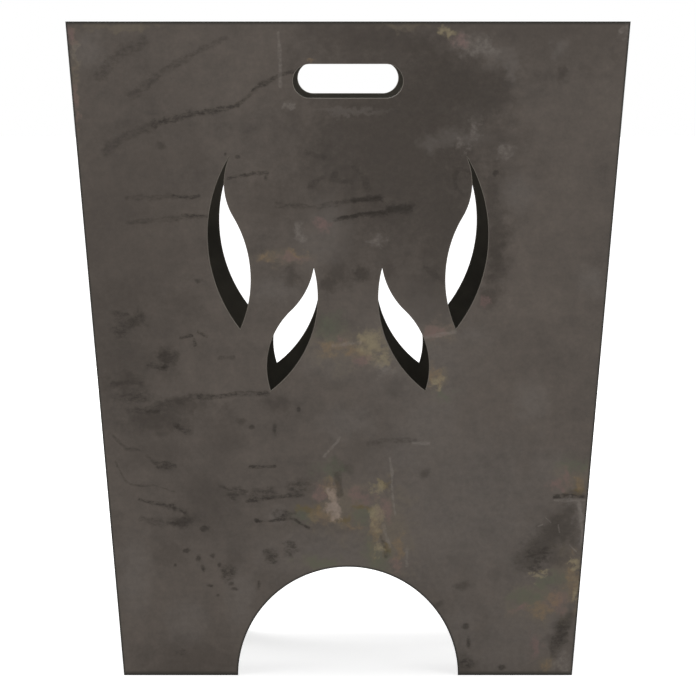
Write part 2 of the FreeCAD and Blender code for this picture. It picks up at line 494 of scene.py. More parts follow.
# %% Finishes of the marks
Finish = namedtuple("Finish", "kind colour strength broken")
FINISHES = {
    "thin cloud": Finish("cloud", (52, 46, 41), 0.34, 0.2),
    "cloud": Finish("cloud", (50, 44, 39), 0.54, 0.2),
    "shade": Finish("cloud", (46, 41, 36), 0.24, 0.3),
    "thin bloom": Finish("cloud", (110, 104, 99), 0.34, 0.4),
    "bloom": Finish("film", (120, 113, 107), 0.54, 0.7),
    "wash": Finish("film", (105, 96, 82), 0.55, 0.3),
    "moss": Finish("film", (84, 88, 72), 0.65, 0.45),
    "rose": Finish("film", (113, 92, 88), 0.7, 0.5),
    "ochre": Finish("film", (95, 81, 52), 0.75, 0.5),
    "tan": Finish("film", (118, 100, 78), 0.7, 0.6),
    "straw": Finish("film", (137, 126, 101), 0.75, 0.42),
    "peach": Finish("film", (146, 131, 120), 0.78, 0.35),
    "smudge": Finish("dirt", (46, 41, 35), 0.55, 0.35),
    "speckle": Finish("dirt", (41, 36, 31), 0.75, 0.88),
    "thin drag": Finish("dirt", (42, 37, 32), 0.54, 0.8),
    "drag": Finish("dirt", (36, 31, 26), 0.85, 0.82),
    "speck": Finish("dirt", (38, 33, 28), 0.78, 0.4),
    "scratch": Finish("dirt", (126, 119, 113), 0.45, 0.7),
}
print("layers of marks:", len(FINISHES))

# %% [markdown]
# The marks on the front
#
# These are the marks that the front panel shows, in millimetres on its sheet: across from the middle line
# and up the slope from the feet. A patch has its middle, its half width and its half height, and each layer
# goes from the rim down. A drag has a half width at its start and its end, and the points that it passes.

# %% Patches on the front
FRONT_PATCHES = {
    "thin cloud": [
        (185, 605, 120, 60), (241, 574, 7, 16), (216, 560, 12, 7), (100, 545, 50, 45),
        (38, 485, 124, 135), (-142, 478, 20, 26), (-190, 475, 50, 22), (-69, 438, 40, 28),
        (135, 392, 15, 52), (-205, 385, 95, 195), (70, 355, 40, 40), (-175, 234, 44, 24),
        (-115, 222, 24, 30), (-175, 208, 38, 20), (-134, 162, 32, 36), (126, 134, 9, 9),
        (-165, 115, 18, 16), (-104, 110, 12, 14), (95, 109, 9, 7), (135, 95, 8, 8), (-138, 14, 44, 24),
    ],
    "cloud": [
        (35, 588, 85, 28), (80, 564, 38, 36), (193, 556, 6, 9), (103, 545, 52, 34), (140, 542, 11, 28),
        (128, 528, 30, 14), (52, 488, 116, 128), (130, 446, 9, 32), (88, 412, 48, 68), (134, 392, 11, 44),
        (-10, 378, 16, 16), (35, 376, 12, 16), (12, 372, 11, 9), (-51, 368, 9, 11), (-17, 366, 8, 11),
        (127, 350, 10, 14), (-168, 297, 9, 12), (-202, 272, 22, 11), (43, 267, 11, 11),
        (-65, 252, 16, 11), (-148, 250, 36, 9), (-176, 237, 30, 14), (-5, 194, 12, 8), (207, 170, 12, 6),
        (-152, 143, 18, 8), (188, 137, 15, 21), (175, 117, 15, 11), (192, 107, 18, 13), (196, 42, 10, 14),
        (187, 30, 7, 14), (108, 10, 14, 12),
    ],
    "shade": [
        (72, 568, 36, 30), (132, 544, 18, 34), (84, 542, 60, 44), (101, 460, 26, 46), (43, 430, 22, 12),
        (136, 402, 14, 44), (-12, 367, 18, 14), (-206, 352, 34, 20), (-150, 345, 20, 16),
        (75, 332, 18, 14), (-166, 290, 18, 18), (-198, 288, 40, 34), (10, 214, 14, 18), (81, 174, 14, 18),
        (108, 103, 16, 22),
    ],
    "thin bloom": [
        (192, 578, 10, 8), (-235, 575, 20, 20), (135, 572, 18, 14), (148, 562, 8, 20), (2, 521, 40, 3.5),
        (100, 496, 30, 10), (75, 492, 14, 9), (155, 446, 18, 18), (-18, 415, 22, 32), (-25, 398, 26, 26),
        (222, 366, 16, 16), (-67, 356, 24, 14), (114, 314, 24, 10), (60, 300, 70, 60), (-14, 296, 44, 24),
        (86, 264, 18, 32), (167, 254, 18, 26), (0, 234, 32, 20), (74, 226, 42, 62), (52, 203, 28, 26),
        (184, 192, 28, 22), (-66, 150, 12, 9), (105, 150, 115, 100), (-10, 110, 92, 30),
        (-196, 92, 18, 44), (-98, 72, 16, 38), (166, 56, 60, 66), (-147, 50, 22, 26), (106, 44, 22, 34),
        (140, 20, 50, 26),
    ],
    "bloom": [
        (251, 594, 4, 9), (107, 583, 16, 10), (121, 580, 16, 11), (-248, 574, 4, 11), (-53, 527, 5, 3),
        (115, 506, 5, 10), (103, 490, 6, 8), (143, 484, 8, 7), (-44, 410, 4, 9), (26, 403, 8, 7),
        (33, 282, 9, 9), (205, 158, 14, 6), (213, 142, 4, 24), (196, 14, 10, 13),
    ],
    "wash": [
        (-205, 599, 45, 5), (52, 599, 26, 5), (-248, 560, 4, 60), (-58, 387, 28, 8), (84, 318, 18, 12),
        (4, 304, 46, 20), (82, 272, 10, 16), (206, 182, 18, 14), (-4, 156, 34, 28), (36, 132, 26, 48),
        (-25, 104, 26, 8), (200, 84, 16, 34), (172, 68, 30, 22), (180, 10, 10, 12),
    ],
    "moss": [
        (-15, 322, 15, 13), (86, 262, 9, 8), (206, 195, 12, 9), (-15, 192, 16, 9), (-40, 150, 12, 10),
        (14, 148, 10, 8), (22, 120, 9, 14), (30, 106, 14, 9), (-25, 105, 22, 7), (185, 88, 16, 7),
        (165, 72, 20, 9),
    ],
    "rose": [
        (-250, 590, 5, 11), (102, 586, 9, 7), (-248, 530, 3, 26), (-24, 417, 8, 5), (-50, 386, 16, 5),
        (125, 345, 4, 5), (81, 319, 13, 9), (-5, 310, 4, 6), (12, 293, 10, 5), (200, 184, 5, 9),
        (191, 178, 9, 5), (-25, 171, 8, 10), (12, 167, 14, 8), (34, 154, 7, 13), (45, 105, 6, 9),
        (192, 68, 13, 9), (160, 62, 10, 5), (173, 28, 6, 10),
    ],
    "ochre": [
        (33, 178, 9, 5), (210, 174, 8, 7), (-36, 156, 12, 6), (14, 156, 10, 4), (-6, 144, 9, 4),
        (34, 118, 4, 9),
    ],
    "tan": [
        (-34, 566, 4, 3), (-46, 390, 8, 5), (-75, 386, 7, 6), (-15, 303, 16, 7), (5, 303, 16, 8),
        (79, 276, 6, 12), (212, 180, 7, 5), (-17, 174, 7, 14), (-24, 148, 14, 10), (5, 138, 10, 4),
        (25, 132, 6, 18), (47, 119, 5, 15), (207, 84, 7, 27), (189, 70, 8, 7), (175, 60, 14, 6),
        (182, 7, 5, 7),
    ],
    "straw": [
        (90, 593, 9, 4), (20, 309, 15, 12), (32, 293, 12, 6), (82, 268, 5, 7), (30, 176, 9, 6),
        (25, 150, 6, 13), (29, 118, 4, 8), (208, 104, 5, 6), (180, 96, 5, 3), (168, 94, 5, 3),
        (174, 91, 6, 3), (209, 76, 4, 12),
    ],
    "peach": [
        (-16, 170, 5, 7), (-13, 155, 7, 13),
    ],
    "smudge": [
        (-168, 490, 5, 5), (12, 372, 7, 7), (-195, 330, 12, 8), (-158, 296, 4, 8), (-97, 235, 5, 3),
        (70, 187, 5, 6), (200, 136, 13, 17), (205, 126, 8, 8), (-71, 112, 7, 7), (-113, 97, 4, 4),
        (106, 84, 9, 5), (83, 66, 7, 5), (196, 42, 9, 16),
    ],
    "speckle": [
        (-205, 335, 12, 3), (-192, 330, 9, 7), (-206, 322, 13, 8), (-166, 297, 9, 6), (-176, 287, 11, 4),
        (-195, 258, 20, 6), (-185, 246, 16, 3), (-168, 195, 10, 5), (-48, 176, 13, 9), (-102, 171, 14, 7),
        (-76, 169, 18, 7), (-60, 150, 10, 5), (-154, 144, 14, 5), (-54, 118, 10, 7), (-68, 112, 9, 8),
        (178, 112, 16, 8), (170, 99, 12, 4), (-110, 96, 10, 8), (196, 38, 9, 12), (-152, 22, 8, 4),
        (108, 12, 9, 6),
    ],
    "speck": [
        (-112, 481, 2, 2), (-101, 478, 3, 2), (133, 463, 3, 3), (-75, 461, 2.2, 3), (52, 432, 9, 6),
        (40, 431, 9, 5), (-138, 366, 5, 2.5), (-45, 246, 2, 3), (-88, 230, 3, 2.5), (-67, 228, 2.5, 7),
        (-84, 144, 3, 2.2), (-132, 136, 4.5, 3), (-148, 116, 3, 2), (-125, 111, 3.5, 2.5),
        (-137, 109, 3.5, 3.5), (-118, 104, 2.5, 3), (-159, 103, 1.8, 1.8), (-133, 100, 2.5, 3.5),
        (-107, 86, 3, 2.5), (-126, 85, 4, 1.8), (-82, 85, 2.2, 5), (-104, 81, 4, 2), (-119, 75, 2.5, 2),
        (108, 45, 3.5, 3), (111, 30, 2.5, 5), (142, 8, 4, 3),
    ],
}
print("front patches:", sum(len(group) for group in FRONT_PATCHES.values()))

# %% Drags on the front
Drag = namedtuple("Drag", "start_width end_width points")
FRONT_DRAGS = {
    "smudge": [
        Drag(4, 3, [(-9, 187), (-8, 167)]),
        Drag(9, 15, [(202, 154), (186, 132), (163, 108)]),
        Drag(6, 8, [(204, 56), (190, 22)]),
    ],
    "thin drag": [
        Drag(4, 6.5, [(-172, 510), (-200, 497), (-219, 484)]),
        Drag(3, 6, [(-113, 588), (-160, 561), (-195, 536)]),
        Drag(6, 7, [(-185, 584), (-210, 573), (-224, 556)]),
        Drag(3, 3, [(-65, 436), (-28, 434), (5, 439)]),
        Drag(2.5, 3, [(-136, 442), (-165, 442), (-200, 442)]),
        Drag(2.5, 3, [(-128, 424), (-165, 421), (-200, 420)]),
        Drag(3, 7, [(-120, 260), (-160, 254), (-180, 247)]),
        Drag(2.5, 3, [(18, 215), (62, 219)]),
        Drag(2, 2.5, [(-214, 222), (-203, 211), (-191, 210)]),
        Drag(2.5, 3, [(-183, 203), (-170, 193), (-159, 194)]),
        Drag(3, 5, [(-190, 147), (-170, 143), (-150, 142)]),
        Drag(1.1, 1.1, [(-214, 198), (-203, 180), (-197, 177), (-178, 177), (-160, 172)]),
        Drag(1.5, 2, [(-118, 177), (-103, 173)]),
        Drag(1.8, 1.8, [(-110, 170), (-105, 164)]),
        Drag(2, 2, [(-60, 124), (-50, 124), (-46, 116)]),
        Drag(3, 3, [(-22, 462), (-36, 453)]),
        Drag(3, 4, [(5, 470), (14, 460), (17, 450)]),
        Drag(4, 3, [(-12, 464), (-14, 457), (2, 456)]),
        Drag(3, 3, [(-37, 484), (-22, 479)]),
        Drag(2.2, 2.2, [(-117, 295), (-104, 295)]),
        Drag(3, 3, [(70, 378), (86, 364)]),
        Drag(2.5, 2.5, [(-215, 270), (-190, 272)]),
        Drag(2, 3, [(30, 129), (35, 112)]),
        Drag(2.5, 2.5, [(110, 464), (102, 467), (97, 459), (99, 449), (104, 446)]),
    ],
    "drag": [
        Drag(2, 3, [(-50, 556), (-62, 552), (-80, 543), (-103, 524)]),
        Drag(3, 4, [(-103, 524), (-140, 518), (-175, 509)]),
        Drag(2.5, 5, [(-12, 423), (28, 427), (46, 432)]),
        Drag(5, 5.5, [(48, 432), (55, 433)]),
        Drag(2.5, 4.5, [(4, 439), (29, 441)]),
        Drag(2, 2.5, [(-158, 442), (-147, 441), (-136, 443)]),
        Drag(2, 2, [(-73, 465), (-98, 463), (-108, 460)]),
        Drag(2.5, 3, [(-73, 262), (-100, 261), (-135, 257)]),
        Drag(2, 3, [(-191, 165), (-177, 161), (-161, 158), (-150, 153)]),
        Drag(1.8, 2.2, [(-93, 162), (-80, 165), (-60, 167), (-42, 168)]),
        Drag(1.5, 1.8, [(-84, 143), (-68, 145), (-50, 146), (-36, 138)]),
        Drag(1.4, 1.6, [(-62, 144), (-56, 152), (-48, 152)]),
        Drag(2, 2, [(-90, 194), (-68, 195)]),
        Drag(2.5, 3, [(-158, 232), (-150, 226), (-144, 226)]),
        Drag(3, 3, [(190, 166), (216, 166)]),
        Drag(2, 2, [(-153, 314), (-143, 316)]),
        Drag(2, 2, [(-141, 312), (-141, 306)]),
        Drag(1.5, 2, [(-137, 320), (-128, 316)]),
        Drag(2, 2, [(-150, 425), (-128, 424)]),
        Drag(2, 2.5, [(-179, 285), (-167, 287)]),
    ],
    "speck": [
        Drag(1.5, 3.2, [(-8, 424), (22, 426), (46, 432)]),
        Drag(4.5, 4.5, [(50, 432), (55, 433)]),
        Drag(1.5, 3.2, [(5, 439), (28, 441)]),
    ],
    "scratch": [
        Drag(2, 2, [(-64, 592), (-61, 560), (-60, 543)]),
        Drag(1.5, 1.3, [(38, 202), (40, 186), (43, 150)]),
        Drag(1.4, 1.4, [(-22, 203), (-8, 222)]),
        Drag(1.8, 1.8, [(190, 163), (217, 163)]),
        Drag(2.2, 2, [(211, 162), (214, 125)]),
        Drag(2, 2, [(60, 216), (75, 216)]),
        Drag(2, 2.6, [(-14, 306), (12, 309)]),
        Drag(2, 2.4, [(70, 314), (98, 318)]),
        Drag(2, 2, [(32, 140), (38, 121)]),
        Drag(2.4, 2, [(54, 118), (54, 103)]),
        Drag(0.7, 0.7, [(181, 148), (186, 143)]),
        Drag(0.7, 0.7, [(193, 140), (194, 133)]),
        Drag(0.7, 0.7, [(203, 121), (209, 115)]),
        Drag(0.7, 0.7, [(174, 139), (178, 141)]),
    ],
}
print("front drags:", sum(len(group) for group in FRONT_DRAGS.values()))

# %% [markdown]
# Marks on the other sides
#
# The other three panels came off the same sheet and the same bench, so they carry the same kinds of marks
# in other places. Heat tints sit where the welds are: beside the four stitches at each edge, and over the
# lug above the arch. Clouds, drags and smudges fall anywhere, from a seeded dice, so every run gives the
# same plate. Each pair of numbers is the least and the most that the dice may give, in millimetres.

# %% Tints by the welds
WELD_STARTS = [30, 202, 374, 546]
WELD_LENGTH = 50
LUG_LEVEL = 150
TINTS = ["moss", "rose", "ochre", "tan", "straw"]
TINTS_BY_STITCH = 3
TINTS_BY_LUG = TINTS * 3 + ["peach"]
STITCH_INSET = 7
STITCH_SCATTER = -5, 5
STITCH_TINT_WIDTH = 4, 8
STITCH_TINT_HEIGHT = 8, 18
LUG_SCATTER_ACROSS = -40, 40
LUG_SCATTER_UP = -35, 30
LUG_TINT_SIZE = 5, 13


def add_weld_tints(dice, patches):
    """Tints beside the stitches at both edges and over the lug."""
    for start in WELD_STARTS:
        for side in (1, -1):
            edge = side * (FOOT_WIDTH / MM / 2 + LEAN * start - STITCH_INSET)
            for tint in dice.sample(TINTS, TINTS_BY_STITCH):
                up = start + dice.uniform(0, WELD_LENGTH)
                across = edge + dice.uniform(*STITCH_SCATTER)
                size = dice.uniform(*STITCH_TINT_WIDTH), dice.uniform(*STITCH_TINT_HEIGHT)
                patches[tint].append((across, up, *size))
    for tint in TINTS_BY_LUG:
        across = dice.uniform(*LUG_SCATTER_ACROSS)
        up = LUG_LEVEL + dice.uniform(*LUG_SCATTER_UP)
        patches[tint].append((across, up, dice.uniform(*LUG_TINT_SIZE), dice.uniform(*LUG_TINT_SIZE)))


print("tints by welds on a panel:", 2 * len(WELD_STARTS) * TINTS_BY_STITCH + len(TINTS_BY_LUG))

# %% Marks by chance
Chance = namedtuple("Chance", "count least most")
CHANCE_PATCHES = {
    "thin cloud": Chance(8, 30, 110), "cloud": Chance(6, 12, 50), "thin bloom": Chance(7, 12, 60),
    "bloom": Chance(5, 4, 12), "smudge": Chance(6, 4, 12), "speckle": Chance(7, 7, 18),
    "speck": Chance(12, 2, 5),
}
CHANCE_DRAGS = {"thin drag": Chance(9, 2, 5), "drag": Chance(7, 1.6, 3.5), "scratch": Chance(3, 1.4, 2)}
PATCH_ACROSS = -220, 220
PATCH_UP = 20, 590
HEIGHT_FOR_WIDTH = 0.5, 1.4
DRAG_ACROSS = -200, 130
DRAG_UP = 150, 570
RUN_ACROSS = 12, 42
RUN_UP = -12, 16
BEND_ACROSS = -4, 4
BEND_UP = -7, 7
SEEDS = {"right": 11, "back": 23, "left": 37}


def chance_marks(seed):
    """Patches and drags for a panel that the picture doesn't show."""
    dice = random.Random(seed)
    patches = {finish: [] for finish in FINISHES}
    drags = {finish: [] for finish in FINISHES}
    add_weld_tints(dice, patches)
    for finish, (count, least, most) in CHANCE_PATCHES.items():
        for _ in range(count):
            width = dice.uniform(least, most)
            middle = dice.uniform(*PATCH_ACROSS), dice.uniform(*PATCH_UP)
            patches[finish].append((*middle, width, width * dice.uniform(*HEIGHT_FOR_WIDTH)))
    for finish, (count, least, most) in CHANCE_DRAGS.items():
        for _ in range(count):
            start = Vector((dice.uniform(*DRAG_ACROSS), dice.uniform(*DRAG_UP)))
            run = Vector((dice.uniform(*RUN_ACROSS), dice.uniform(*RUN_UP)))
            bend = Vector((dice.uniform(*BEND_ACROSS), dice.uniform(*BEND_UP)))
            points = [start, start + run, start + 2 * run + bend]
            drags[finish].append(Drag(dice.uniform(least, most), dice.uniform(least, most), points))
    return patches, drags


marks_of = {"front": (FRONT_PATCHES, FRONT_DRAGS)}
for side, seed in SEEDS.items():
    marks_of[side] = chance_marks(seed)
print("marks on the back:", sum(len(group) for kind in marks_of["back"] for group in kind.values()))

# %% [markdown]
# Painted shade at the edges
#
# A dark line of painted shade runs along the outside of each panel. The outline is simple enough to
# measure in the shader: two straight sides, the rim, the feet and the arch, which is a circle round the
# middle of the foot line. The nearest of these is how far a point lies from the edge. The rim and the feet
# count as nearer than they are, because the line is wider there.

# %% Edge distance group
RIM_NEARER = 0.7
FOOT_NEARER = 0.5


def make_edge_distance():
    tree, given, result = shader_group(
        "edge_distance", {"Surface": "Vector", "Foot Half": "Float", "Rim Half": "Float"},
        {"Distance": "Float"})
    where = add_node(tree, "ShaderNodeSeparateXYZ", {0: given["Surface"]}).outputs
    growth = number(tree, "DIVIDE", number(tree, "SUBTRACT", given["Rim Half"], given["Foot Half"]), SLOPE)
    half = number(tree, "MULTIPLY_ADD", where["Y"], growth, given["Foot Half"])
    to_side = number(tree, "SUBTRACT", half, number(tree, "ABSOLUTE", where["X"]))
    to_arch = number(tree, "SUBTRACT", vector(tree, "LENGTH", given["Surface"]), ARCH_RADIUS)
    to_rim = number(tree, "MULTIPLY", number(tree, "SUBTRACT", SLOPE, where["Y"]), RIM_NEARER)
    nearest = number(tree, "MINIMUM", number(tree, "MINIMUM", to_side, to_rim), to_arch)
    to_foot = number(tree, "MULTIPLY", where["Y"], FOOT_NEARER)
    tree.links.new(number(tree, "MINIMUM", nearest, to_foot), result["Distance"])
    return tree


edge_distance = make_edge_distance()
print("edge distance group:", len(edge_distance.nodes), "nodes")

# %% [markdown]
# Panel steel
#
# The outer face is the mill scale with the marks laid on it, layer by layer. Clouds and films are looked up
# at places that a fine noise has torn, so that no patch is a clean oval. Dirt is looked up at places that a
# wider noise has shaken, so that a straight drag wanders like a real one. Another noise frays every edge.
# Two more break the layers up: flakes for clouds and films, and streaks along the rolling direction for
# dirt. The kinds differ in where a mark starts to fade, where it ends and how much it frays.

# %% Steel surface
BUMP_DEPTH = 0.4 * MM
SPECULAR = 0.2


def new_material(name):
    """A material with an empty graph."""
    made = bpy.data.materials.new(name)
    made.use_nodes = True
    made.node_tree.nodes.clear()
    return made, made.node_tree


def placed(tree, group, inputs):
    """A group placed in a material with its own values."""
    return add_node(tree, "ShaderNodeGroup", inputs, node_tree=group).outputs


def steel_surface(tree, colour, roughness, height, metallic, bump):
    """The shader of a steel face, with its bump, linked to the output."""
    bump_inputs = {"Height": height, "Strength": bump, "Distance": BUMP_DEPTH}
    normal = add_node(tree, "ShaderNodeBump", bump_inputs).outputs[0]
    shader = add_node(tree, "ShaderNodeBsdfPrincipled", {
        "Base Color": colour, "Roughness": roughness, "Metallic": metallic, "Specular IOR Level": SPECULAR,
        "Normal": normal}).outputs[0]
    add_node(tree, "ShaderNodeOutputMaterial", {"Surface": shader})


print("steel faces have bumps up to", BUMP_DEPTH / MM, "mm deep")

# %% Nearest marks
def nearest_patch(tree, surface, patches, nearest):
    """Distance to the nearest patch of a layer, in sizes of that patch, unless something else is nearer."""
    for across, up, wide, high in patches:
        nearest = placed(tree, patch, {
            "Surface": surface, "Stretch": (1 / wide / MM, 1 / high / MM, 0),
            "Shift": (-across / wide, -up / high, 0), "Nearest": nearest})["Nearest"]
    return nearest


def nearest_drag(tree, surface, drags, nearest):
    """Distance to the nearest drag of a layer, in widths of that drag, unless something else is nearer."""
    for line in drags:
        points = [Vector((across * MM, up * MM, 0)) for across, up in line.points]
        growth = (line.end_width - line.start_width) / (len(points) - 1)
        for n, (start, end) in enumerate(zip(points, points[1:])):
            thinness = 1 / (line.start_width + growth * n) / MM
            thinning = 1 / (line.start_width + growth * (n + 1)) / MM - thinness
            run = end - start
            nearest = placed(tree, drag, {
                "Surface": surface, "From": start, "Run": run, "Pace": run / run.length_squared,
                "Thinness": thinness, "Thinning": thinning, "Nearest": nearest})["Nearest"]
    return nearest


print("layer with the most patches:", max(FRONT_PATCHES, key=lambda finish: len(FRONT_PATCHES[finish])))

# %% Panel material
TEAR = Grain(100, 3, 0.6)
TEAR_REACH = 24 * MM
SHAKE = Grain(25, 3, 0.6)
SHAKE_REACH = 8 * MM
FRAY = Grain(70, 4, 0.7)
FLAKES = Grain(210, 4, 0.7)
FLAKE_SPAN = 0.35, 0.65
STREAKS = Grain(300, 4, 0.7)
STREAK_SPAN = 0.34, 0.64
STREAK_SQUEEZE = (0.55, 1, 1)
Kind = namedtuple("Kind", "inner outer fray")
KINDS = {"cloud": Kind(0.2, 1.25, 1.3), "film": Kind(0.2, 1.3, 2.8), "dirt": Kind(0.3, 1.2, 2.8)}
FAR_AWAY = 9.0
PLATE_CONTRAST = 1.9
# The edge colour, width and strength below are painted shade along the outer edges.
PAINTED_EDGE_SHADE = (38, 38, 34)
PAINTED_EDGE_SHADE_WIDTH = 0.5 * MM, 2.5 * MM
PAINTED_EDGE_SHADE_STRENGTH = 0.85
SEED_STEP = 3.0


def warped(tree, sheet, where, grain, reach):
    """The sheet's coordinates pushed about by a noise, by half the reach each way."""
    push = noise(tree, where, grain)["Color"]
    push = vector(tree, "MULTIPLY_ADD", push, (reach, reach, 0), (-reach / 2, -reach / 2, 0))
    return vector(tree, "ADD", sheet, push)


def panel_steel(name, patches, drags, seed, foot_half, rim_half):
    """Outer face of a panel."""
    made, tree = new_material(name)
    sheet = add_node(tree, "ShaderNodeUVMap", {}, uv_map="sheet").outputs[0]
    where = vector(tree, "ADD", sheet, (seed, seed, seed))
    skin = placed(tree, mill_scale, {
        "Surface": sheet, "Tone": srgb(*PLATE_GREY), "Contrast": PLATE_CONTRAST, "Seed": seed})
    torn = warped(tree, sheet, where, TEAR, TEAR_REACH)
    shaken = warped(tree, sheet, where, SHAKE, SHAKE_REACH)
    fraying = number(tree, "SUBTRACT", noise(tree, where, FRAY)["Fac"], 0.5)
    flakes = eased(tree, noise(tree, where, FLAKES)["Fac"], *FLAKE_SPAN, 0.0, 1.0)
    streaks = noise(tree, vector(tree, "MULTIPLY", where, STREAK_SQUEEZE), STREAKS)["Fac"]
    streaks = eased(tree, streaks, *STREAK_SPAN, 0.0, 1.0)
    colour = skin["Colour"]
    for finish, (kind, tone, strength, broken) in FINISHES.items():
        if not patches.get(finish) and not drags.get(finish):
            continue
        surface, gaps = (shaken, streaks) if kind == "dirt" else (torn, flakes)
        nearest = nearest_patch(tree, surface, patches.get(finish, []), FAR_AWAY)
        nearest = nearest_drag(tree, surface, drags.get(finish, []), nearest)
        inner, outer, fray = KINDS[kind]
        nearest = number(tree, "MULTIPLY_ADD", fraying, fray, nearest)
        mask = eased(tree, nearest, inner, outer, strength, 0.0)
        mask = number(tree, "MULTIPLY", mask, number(tree, "MULTIPLY_ADD", gaps, -broken, 1.0))
        colour = layered(tree, mask, colour, srgb(*tone))
    # A dark band of painted shade along the outer edges, wider at the rim and the feet.
    edge = placed(tree, edge_distance, {"Surface": sheet, "Foot Half": foot_half, "Rim Half": rim_half})
    painted_edge_shade = eased(tree, edge["Distance"], *PAINTED_EDGE_SHADE_WIDTH, PAINTED_EDGE_SHADE_STRENGTH, 0.0)
    colour = layered(tree, painted_edge_shade, colour, srgb(*PAINTED_EDGE_SHADE))
    steel_surface(tree, colour, skin["Roughness"], skin["Height"], metallic=0.1, bump=0.25)
    return made


panel_faces = {}
for order, (side, (patches, drags)) in enumerate(marks_of.items()):
    seed = SEED_STEP * order
    panel_faces[side] = panel_steel(side + "_panel_face", patches, drags, seed, *half_widths(side))
print("nodes in the panel faces:", {side: len(made.node_tree.nodes) for side, made in panel_faces.items()})

# %% [markdown]
# Painted shade inside, and cut edges
#
# Inside, the plate is darker under a thin blotchy coat of painted shade. It stands for the shade in the
# basket, and is darker in some places and thinner over the scale in others. A thicker coat of the same
# painted shade suits the lugs and the grate, and in another colour it is the heat tint on the welds, so the
# blotches are a group. The outer rims are darker too, with painted shade. The edges of the cut-outs are
# paler, partly bare steel and partly a painted highlight, with fine lines across them that the cutting jet
# leaves.

# %% Coat group
COAT_DETAIL = 5
COAT_ROUGHNESS = 0.6
COAT_SPAN = 0.32, 0.62
COAT_SHARE = 1.0, 0.45


def make_coat():
    tree, given, result = shader_group(
        "coat", {"Surface": "Vector", "Scale": "Float", "Seed": "Float"}, {"Mask": "Float"})
    where = vector(tree, "ADD", given["Surface"], given["Seed"])
    blotches = noise(tree, where, Grain(given["Scale"], COAT_DETAIL, COAT_ROUGHNESS))["Fac"]
    tree.links.new(eased(tree, blotches, *COAT_SPAN, *COAT_SHARE), result["Mask"])
    return tree


coat = make_coat()
print("coat group:", len(coat.nodes), "nodes")

# %% Inner face and edge materials
# The two coat colours below are painted shade: darker blotches that stand for the shade inside the basket.
INTERIOR_PAINTED_SHADE = (47, 45, 39)
THIN_INTERIOR_PAINTED_SHADE = (64, 61, 54)
INTERIOR_PAINTED_SHADE_SCALE = 14
JET_LINES = Grain(1400, 1, 0.6)
EDGE_CONTRAST = 0.9


def plain_steel(name, tone, contrast, seed, coat_tone=INTERIOR_PAINTED_SHADE, coat_scale=INTERIOR_PAINTED_SHADE_SCALE, metallic=0.1):
    """Steel without handling marks, under a blotchy coat: heat tint on welds, painted shade elsewhere."""
    made, tree = new_material(name)
    where = add_node(tree, "ShaderNodeTexCoord", {}).outputs["Object"]
    skin = placed(tree, mill_scale, {
        "Surface": where, "Tone": srgb(*tone), "Contrast": contrast, "Seed": seed})
    mask = placed(tree, coat, {"Surface": where, "Scale": coat_scale, "Seed": seed})["Mask"]
    colour = layered(tree, mask, skin["Colour"], srgb(*coat_tone))
    steel_surface(tree, colour, skin["Roughness"], skin["Height"], metallic, bump=0.3)
    return made


def edge_steel(name, tone, seed):
    """Cut edge: fine lines across the thickness, because the sheet's coordinates don't change across it."""
    made, tree = new_material(name)
    sheet = add_node(tree, "ShaderNodeUVMap", {}, uv_map="sheet").outputs[0]
    skin = placed(tree, mill_scale, {
        "Surface": sheet, "Tone": srgb(*tone), "Contrast": EDGE_CONTRAST, "Seed": seed})
    lines = noise(tree, sheet, JET_LINES)["Fac"]
    steel_surface(tree, skin["Colour"], skin["Roughness"], lines, metallic=0.2, bump=0.4)
    return made


# The inner face is darkened by a thin coat of painted shade.
inner_face = plain_steel("sooty_inner_face", tone=(93, 88, 79), contrast=0.8, seed=5.0, coat_tone=THIN_INTERIOR_PAINTED_SHADE)
# The outer rim edges get a dark tone of painted shade.
rim_edge = edge_steel("rim_edge", tone=(44, 42, 39), seed=6.0)
# Cut-out edges are paler: partly bare steel, partly a painted highlight along the cut-outs.
cut_edge = edge_steel("cut_edge", tone=(112, 106, 98), seed=7.0)
for side, panel in panels.items():
    for made in (panel_faces[side], inner_face, rim_edge, cut_edge):
        panel.data.materials.append(made)
print("panel materials:", [made.name for made in panels["front"].data.materials])

# %% [markdown]
# Lugs under the grate
#
# Each lug is a small plate with two rounded corners, welded flat to the inside of its panel. The plate
# builder makes it too. Its back edge has to follow the lean of the panel, which is what the foot slope is
# for: here it runs the other way, because the panel leans away above the lug.

# %% The four lugs
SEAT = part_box("fire_grate")[0].z
LUG_HALF = 35 * MM
LUG_REACH = 30 * MM
LUG_PLATE = 4 * MM
LUG_CORNER = 6 * MM


def inner_half(level):
    """Half of the basket's inside width at a height."""
    return INNER_FOOT + LEAN * level


def lug_outline():
    """A rectangle with its two free corners rounded."""
    round_off = LUG_CORNER * (1 - math.sqrt(0.5))
    low = Vector((LUG_HALF, LUG_REACH - LUG_CORNER))
    over = Vector((LUG_HALF - round_off, LUG_REACH - round_off))
    top = Vector((LUG_HALF - LUG_CORNER, LUG_REACH))
    right = [Vector((LUG_HALF, 0))] + arc(low, over, top) + [top]
    left = [Vector((-point.x, point.y)) for point in reversed(right)]
    return right + left


# The lugs sit inside the basket, under a coat of painted shade.
lug_steel = plain_steel("lug_steel", tone=(76, 71, 66), contrast=0.8, seed=9.0)
lugs = {}
to_panel = Matrix.Translation((0, -inner_half(SEAT), SEAT))
for side, angle in QUARTER.items():
    mesh = plate_mesh(side + "_lug_plate", lug_outline(), [], LUG_PLATE, -LEAN)
    mesh.transform(swing(angle) @ to_panel)
    for _ in range(CUT_EDGE + 1):
        mesh.materials.append(lug_steel)
    lugs[side] = add_object(side + "_lug_plate", mesh)
print("lugs:", len(lugs), "with their tops at", round(SEAT / MM, 2), "mm")

